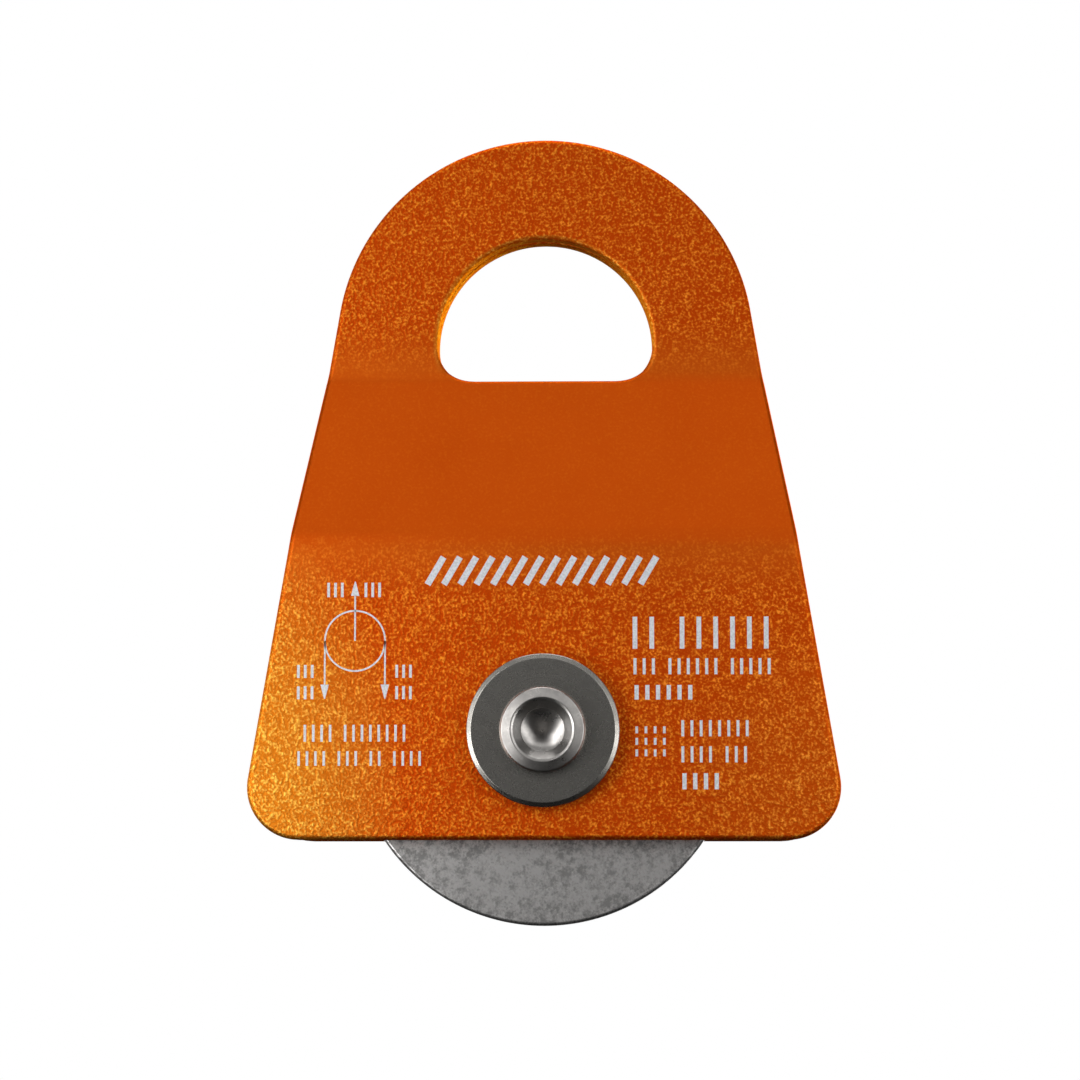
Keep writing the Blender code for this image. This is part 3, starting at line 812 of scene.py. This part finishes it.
class PULLEY_OT_marks(bpy.types.Operator):
    """Makes the generic laser marks on the front plate"""

    bl_idname = "pulley.marks"
    bl_label = "Laser marks"

    def execute(self, context):
        sizes = context.scene.pulley_marks
        fine, proud = sizes.stroke, sizes.proud
        shell = Shell()
        # the load diagram: its middle, its upper and lower arrow tips, its circle, an arrow head
        mid, top, bottom = -0.0247, AXLE_UP + 0.0196, AXLE_UP + 0.0042
        circle_up, circle = AXLE_UP + 0.0118, 0.00395
        head, shaft_end = 0.0011, 0.0018
        outlines = [
            stroke((mid, circle_up), (mid, top - shaft_end), fine),
            arrow_head((mid, top), head, 1),
        ]
        for side in (-circle, circle):
            outlines.append(stroke((mid + side, circle_up), (mid + side, bottom + shaft_end), fine))
            outlines.append(arrow_head((mid + side, bottom), head, -1))
        # the strip: its first foot, and each slanted stroke's pitch, slant, height and width
        strip_left, strip_up = -0.0152, AXLE_UP + 0.0192
        pitch, slant, tall, width = 0.00215, 0.0021, 0.0036, 0.00085
        for foot in strip_left + np.arange(14) * pitch:
            outlines.append(stroke((foot, strip_up), (foot + slant, strip_up + tall), width))
        # rows of ticks: left end, pitch, height over the axle, tick's height and width, counts
        rows = [
            (-0.0282, 0.0009, 0.0185, 0.0019, fine * 1.65, (3,)),
            (-0.0233, 0.0009, 0.0185, 0.0019, fine * 1.65, (3,)),
            (-0.0321, 0.0009, 0.0078, 0.0017, fine * 1.65, (3,)),
            (-0.0321, 0.0009, 0.0050, 0.0017, fine * 1.65, (3,)),
            (-0.0192, 0.0009, 0.0078, 0.0017, fine * 1.65, (3,)),
            (-0.0192, 0.0009, 0.0050, 0.0017, fine * 1.65, (3,)),
            (-0.0312, 0.0011, -0.0003, 0.0022, fine * 1.5, (4, 8)),
            (-0.0320, 0.0011, -0.0036, 0.0019, fine * 1.5, (4, 3, 2, 4)),
            (0.0120, 0.0022, 0.0128, 0.0042, fine * 2.8, (2, 6)),
            (0.0120, 0.0012, 0.0084, 0.0021, fine * 1.8, (3, 6, 5)),
            (0.0122, 0.0014, 0.0050, 0.0019, fine * 2.5, (6,)),
            (0.0182, 0.0012, 0.0003, 0.0021, fine * 1.7, (8,)),
            (0.0182, 0.0012, -0.0031, 0.0021, fine * 1.7, (4, 3)),
            (0.0184, 0.0014, -0.0066, 0.0021, fine * 2.5, (4,)),
            (0.0122, 0.0012, 0.0001, 0.0009, fine * 1.6, (4,)),
            (0.0122, 0.0012, -0.0014, 0.0009, fine * 1.6, (4,)),
            (0.0122, 0.0012, -0.0029, 0.0009, fine * 1.6, (4,)),
        ]
        for left, pitch, up, tall, width, groups in rows:
            outlines += ticks(left, pitch, AXLE_UP + up, tall, width, groups)
        slabs(shell, outlines, proud)
        hoop(shell, (mid, circle_up), circle, fine, proud)
        mesh = shell.mesh("front_plate_marks", crisp=True)
        place("front_plate_marks", mesh, marked_finish(sizes), "front_plate", "anodised_plate")
        return {"FINISHED"}


class PULLEY_OT_sheave(bpy.types.Operator):
    """Makes the grooved sheave"""

    bl_idname = "pulley.sheave"
    bl_label = "Sheave"

    def execute(self, context):
        sizes = context.scene.pulley_sheave
        throat = sizes.tread_radius + sizes.groove_radius
        reach = math.acos((throat - RIM_RADIUS) / sizes.groove_radius)
        lip = sizes.groove_radius * math.sin(reach)
        seat = BEARING_FACE + CLEARANCE
        ring_width = 0.0017
        ring_low = -seat - ring_width
        cut = 0.13  # angle that the rounded corner takes off each end of the groove
        groove = arc(throat, sizes.groove_radius, math.pi + reach - cut, math.pi - reach + cut, 49)
        corners = [
            (RIM_RADIUS, -RIM_FACE),
            (RIM_RADIUS, -lip),
            *groove,
            (RIM_RADIUS, lip),
            (RIM_RADIUS, RIM_FACE),
            (sizes.shoulder_radius, RIM_FACE),
            (sizes.shoulder_radius, seat),
            (sizes.seat_radius, seat),
            (sizes.seat_radius, -seat),
            (sizes.ring_groove, -seat),
            (sizes.ring_groove, ring_low),
            (sizes.seat_radius, ring_low),
            (sizes.seat_radius, -RIM_FACE),
        ]
        edge, brow, soft = 0.0002, 0.0003, sizes.rim_round
        radii = [soft, brow, *[0.0] * len(groove), brow, soft, soft, *[edge] * 6, soft]
        mesh = turned("sheave_turned", rounded(corners, radii), steps=200)
        place("sheave_turned", mesh, sheave_finish(sizes), "sheave_set", "turned_sheave", "sheave")
        return {"FINISHED"}


class PULLEY_OT_axle(bpy.types.Operator):
    """Makes the axle with its drilled and flared ends"""

    bl_idname = "pulley.axle"
    bl_label = "Axle"

    def execute(self, context):
        sizes = context.scene.pulley_axle
        seat = WASHER_FACES[1] + CLEARANCE
        floor = AXLE_END - sizes.drill_depth
        tip = floor - sizes.drill_radius / math.tan(sizes.drill_angle / 2)
        mouth, crest, brow = 0.00385, 0.00415, 0.00540  # radii where the flare's slope changes
        # each corner's radius and height, then its rounding, from the hole's tip outwards
        end = [
            ((0, tip), 0.0),
            ((sizes.drill_radius, floor), 0.00004),
            ((sizes.drill_radius, AXLE_END - 0.0011), 0.0001),
            ((mouth, AXLE_END - 0.00015), 0.0002),
            ((crest, AXLE_END), 0.0003),
            ((brow, AXLE_END - 0.00030), 0.0003),
            ((sizes.lip_radius, AXLE_END - 0.0007), 0.0003),
            ((sizes.lip_radius, AXLE_END - 0.0018), 0.0003),
            ((sizes.end_radius + 0.0001, seat + 0.0003), 0.0001),
            ((sizes.end_radius, seat), 0.00008),
            ((sizes.end_radius, PLATE_FACE), 0.0001),
            ((AXLE_RADIUS, PLATE_FACE), 0.0002),
        ]
        corners = [(r, -h) for (r, h), _ in end] + [corner for corner, _ in reversed(end)]
        radii = [radius for _, radius in end] + [radius for _, radius in reversed(end)]
        mesh = turned("axle_flared", rounded(corners, radii, closed=False), closed=False, steps=128)
        finish = steel_finish("polished_steel", sizes.polished, 0.30, 0.00012, 0.000005)
        place("axle_flared", mesh, finish, "axle_set", "axle_steel", "axle")
        return {"FINISHED"}


class PULLEY_OT_washers(bpy.types.Operator):
    """Makes the washers under the flared lips and the spacers beside the bearing"""

    bl_idname = "pulley.washers"
    bl_label = "Washers and spacers"

    def execute(self, context):
        sizes = context.scene.pulley_axle
        finish = steel_finish("satin_steel", sizes.satin, 0.27, 0.0002, 0.000012)
        edge = 0.0002
        for which, side in (("front", 1), ("rear", -1)):
            low, high = sorted(side * face for face in WASHER_FACES)
            bore = sizes.end_radius + sizes.fit_gap
            mesh = ring(f"{which}_washer_fine", bore, WASHER_RADIUS, low, high, edge, sizes.washer_chamfer)
            place(f"{which}_washer_fine", mesh, finish, "axle_set", "stainless", f"{which}_washer")
            low, high = sorted(side * face for face in SPACER_FACES)
            bore = AXLE_RADIUS + sizes.fit_gap
            mesh = ring(f"{which}_spacer_fine", bore, SPACER_RADIUS, low, high, edge)
            place(f"{which}_spacer_fine", mesh, finish, "axle_set", "stainless", f"{which}_spacer")
        return {"FINISHED"}


class PULLEY_OT_bearing(bpy.types.Operator):
    """Makes the races, shields and balls, and finishes the cage and the retaining ring"""

    bl_idname = "pulley.bearing"
    bl_label = "Ball bearing"

    def execute(self, context):
        sizes = context.scene.pulley_bearing
        axle = context.scene.pulley_axle
        steel = steel_finish("bearing_steel_ground", sizes.steel, 0.13, 0.00015, 0.000004)
        pressed = steel_finish("pressed_steel", sizes.cage, 0.34, 0.0005, 0.00001)
        shield_steel = steel_finish("shield_steel", axle.satin, 0.24, 0.0003, 0.000008)
        track = sizes.ball_radius + sizes.track_gap
        cut = 0.06  # angle that the rounded corner takes off each end of a track
        reach = math.acos(sizes.shoulder / track) - cut
        step = SHIELD_FACES[0] - CLEARANCE
        edge, soft = 0.00015, 0.0003
        outer_track = arc(sizes.pitch_radius, track, reach, -reach, 25)
        shoulder = sizes.pitch_radius + sizes.shoulder
        seat = shoulder + sizes.shield_seat
        corners = [
            (BEARING_RADIUS, -BEARING_FACE),
            (BEARING_RADIUS, BEARING_FACE),
            (seat, BEARING_FACE),
            (seat, step),
            (shoulder, step),
            *outer_track,
            (shoulder, -step),
            (seat, -step),
            (seat, -BEARING_FACE),
        ]
        radii = [soft, soft, *[edge] * 3, *[0.0] * len(outer_track), *[edge] * 3]
        mesh = turned("outer_race_ground", rounded(corners, radii))
        place("outer_race_ground", mesh, steel, "sheave_set", "bearing_steel", "bearing_outer_race")
        inner_track = arc(sizes.pitch_radius, track, math.pi + reach, math.pi - reach, 25)
        shoulder = sizes.pitch_radius - sizes.shoulder
        bore = AXLE_RADIUS + axle.fit_gap
        corners = [
            (shoulder, -BEARING_FACE),
            *inner_track,
            (shoulder, BEARING_FACE),
            (bore, BEARING_FACE),
            (bore, -BEARING_FACE),
        ]
        radii = [edge, *[0.0] * len(inner_track), edge, soft, soft]
        mesh = turned("inner_race_ground", rounded(corners, radii))
        place("inner_race_ground", mesh, steel, "axle_set", "bearing_steel", "bearing_inner_race")
        for which, side in (("front", 1), ("rear", -1)):
            low, high = sorted(side * face for face in SHIELD_FACES)
            bore, thin_edge = shoulder + sizes.track_gap, 0.00008
            mesh = ring(f"{which}_shield_fine", bore, SHIELD_RADIUS, low, high, thin_edge)
            place(f"{which}_shield_fine", mesh, shield_steel, "sheave_set", "stainless", f"{which}_shield")
        around = np.linspace(0, 2 * math.pi, 41)[None]
        down = np.linspace(0, math.pi, 25)[:, None]
        flat = np.sin(down)
        normals = np.stack([flat * np.cos(around), flat * np.sin(around), np.cos(down) + 0 * around], -1)
        for number in range(1, 9):
            low, high = (np.array(corner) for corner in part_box(f"ball_{number}"))
            shell = Shell()
            shell.add((low + high) / 2 + sizes.ball_radius * normals, normals)
            name = f"ball_{number}_fine"
            place(name, shell.mesh(name), steel, "ball_set", "bearing_steel", f"ball_{number}")
        for node in ("bearing_cage", "retaining_ring"):
            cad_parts[node].material_slots[0].material = pressed
        return {"FINISHED"}


class PULLEY_OT_stage(bpy.types.Operator):
    """Makes the floor, the backdrop, the studio lights and the camera"""

    bl_idname = "pulley.stage"
    bl_label = "Stage, lights and camera"

    def execute(self, context):
        sizes = context.scene.pulley_stage
        scene = context.scene
        aim_across, aim_over_axle = -0.00074, 0.0262
        aim = Vector((aim_across, 0.0, AXLE_UP + aim_over_axle))
        look = Vector(
            (
                -math.sin(sizes.camera_yaw) * math.cos(sizes.camera_rise),
                math.cos(sizes.camera_yaw) * math.cos(sizes.camera_rise),
                math.sin(sizes.camera_rise),
            )
        )
        camera = bpy.data.objects.new("camera", bpy.data.cameras.new("camera"))
        camera.data.lens, camera.data.sensor_width = 111.2, 36.0  # both in millimetres
        camera.data.clip_start = 0.01
        camera.data.clip_end = 20.0
        camera.location = aim - look * sizes.distance
        camera.rotation_euler = look.to_track_quat("-Z", "Y").to_euler()
        scene.collection.objects.link(camera)
        scene.camera = camera

        paper = Finish("paper", Roughness=0.9, Specular_IOR_Level=0.0, Base_Color=(0, 0, 0))
        paper.give(Emission_Color=tuple(sizes.paper), Emission_Strength=1.0)
        reach = 3.0
        share = np.linspace(0, 1, 33)[:, None]
        around = np.linspace(0, 2 * math.pi, 97)[None]
        floor = Shell()
        flat = reach * share * np.stack([np.cos(around), np.sin(around)])
        floor.add(np.stack([flat[0], flat[1], 0 * flat[0] - sizes.floor], -1), np.array([0, 0, 1.0]))
        dome = Shell()
        rise = share * QUARTER
        level = np.cos(rise)
        away = np.stack([level * np.cos(around), level * np.sin(around), np.sin(rise) + 0 * around], -1)
        dome.add(away * reach - (0, 0, sizes.floor), -away)
        for name, shell in (("floor", floor), ("backdrop", dome)):
            piece = bpy.data.objects.new(name, shell.mesh(name))
            scene.collection.objects.link(piece)
            piece.data.materials.append(paper.material)
            piece.visible_glossy = False
            piece.visible_diffuse = False
            piece.visible_shadow = False

        world = bpy.data.worlds.new("studio")
        world.use_nodes = True
        nodes, links = world.node_tree.nodes, world.node_tree.links
        back = nodes["Background"]
        ray = nodes.new("ShaderNodeTexCoord")
        split = nodes.new("ShaderNodeSeparateXYZ")
        # the sky's strength goes from the lower value to the higher one over this span of rise
        level = nodes.new("ShaderNodeMapRange")
        (low_rise, high_rise), (dim, bright) = (-0.25, 0.15), (0.015, 0.14)
        for number, value in enumerate((low_rise, high_rise, dim, bright), start=1):
            level.inputs[number].default_value = value
        links.new(ray.outputs["Generated"], split.inputs[0])
        links.new(split.outputs[2], level.inputs[0])
        links.new(level.outputs[0], back.inputs["Strength"])
        back.inputs["Color"].default_value = (1, 1, 1, 1)
        scene.world = world

        # place from the point looked at, then width, height and radiance
        lamps = {
            "key_above": ((0.0, -0.60, 0.78), 1.5, 0.80, 0.23),
            "front_fill": ((0.0, -0.80, 0.36), 1.5, 0.36, 0.63),
            "left_panel": ((-0.85, -0.48, 0.02), 0.90, 0.90, 1.30),
            "right_panel": ((0.85, -0.48, 0.02), 0.90, 0.90, 0.65),
            "left_strip": ((-0.105, -0.16, -0.005), 0.06, 0.22, 2.2),
            "right_strip": ((0.120, -0.17, 0.000), 0.05, 0.20, 1.5),
            "left_glow": ((-0.080, -0.085, -0.038), 0.025, 0.050, 6.5),
            "right_glow": ((0.088, -0.085, -0.035), 0.025, 0.050, 2.6),
            "top": ((0.0, 0.0, 0.9), 0.80, 0.80, 2.4),
            "back_above": ((0.0, 0.60, 0.78), 1.5, 0.80, 0.40),
            "back_fill": ((0.0, 0.80, 0.36), 1.5, 0.36, 0.62),
            "back_left": ((-0.75, 0.60, 0.02), 0.90, 0.90, 1.00),
            "back_right": ((0.75, 0.60, 0.02), 0.90, 0.90, 1.30),
            "back_strip": ((0.105, 0.16, -0.005), 0.06, 0.22, 3.0),
        }
        for name, (away, width, height, radiance) in lamps.items():
            data = bpy.data.lights.new(name, "AREA")
            data.shape = "RECTANGLE"
            data.size = width
            data.size_y = height
            data.energy = radiance * math.pi * width * height
            away = Vector(away)
            lamp = bpy.data.objects.new(name, data)
            lamp.location = aim + away
            lamp.rotation_euler = away.to_track_quat("Z", "Y").to_euler()
            lamp.visible_camera = False
            scene.collection.objects.link(lamp)
        scene.view_settings.view_transform = "Standard"
        return {"FINISHED"}


class PULLEY_PT_panel(bpy.types.Panel):
    """Lists the pulley's operators and settings"""

    bl_label = "Rope pulley"
    bl_idname = "PULLEY_PT_panel"
    bl_space_type = "VIEW_3D"
    bl_region_type = "UI"
    bl_category = "Pulley"

    def draw(self, context):
        layout = self.layout
        for operator in OPERATORS:
            layout.operator(operator.bl_idname)
        for name, group in GROUPS.items():
            box = layout.box()
            box.label(text=group.__doc__)
            for key in group.__annotations__:
                box.prop(getattr(context.scene, name), key)


GROUPS = {
    "pulley_plate": PlateSettings,
    "pulley_marks": MarkSettings,
    "pulley_sheave": SheaveSettings,
    "pulley_axle": AxleSettings,
    "pulley_bearing": BearingSettings,
    "pulley_stage": StageSettings,
}
OPERATORS = (
    PULLEY_OT_cheek_plates,
    PULLEY_OT_marks,
    PULLEY_OT_sheave,
    PULLEY_OT_axle,
    PULLEY_OT_washers,
    PULLEY_OT_bearing,
    PULLEY_OT_stage,
)


def register():
    for made in (*GROUPS.values(), *OPERATORS, PULLEY_PT_panel):
        bpy.utils.register_class(made)
    for name, group in GROUPS.items():
        setattr(bpy.types.Scene, name, PointerProperty(type=group))


def unregister():
    for name in GROUPS:
        delattr(bpy.types.Scene, name)
    for made in reversed((*GROUPS.values(), *OPERATORS, PULLEY_PT_panel)):
        bpy.utils.unregister_class(made)


def main():
    register()
    bpy.ops.pulley.cheek_plates()
    bpy.ops.pulley.marks()
    bpy.ops.pulley.sheave()
    bpy.ops.pulley.axle()
    bpy.ops.pulley.washers()
    bpy.ops.pulley.bearing()
    bpy.ops.pulley.stage()


if __name__ == "__main__":
    main()
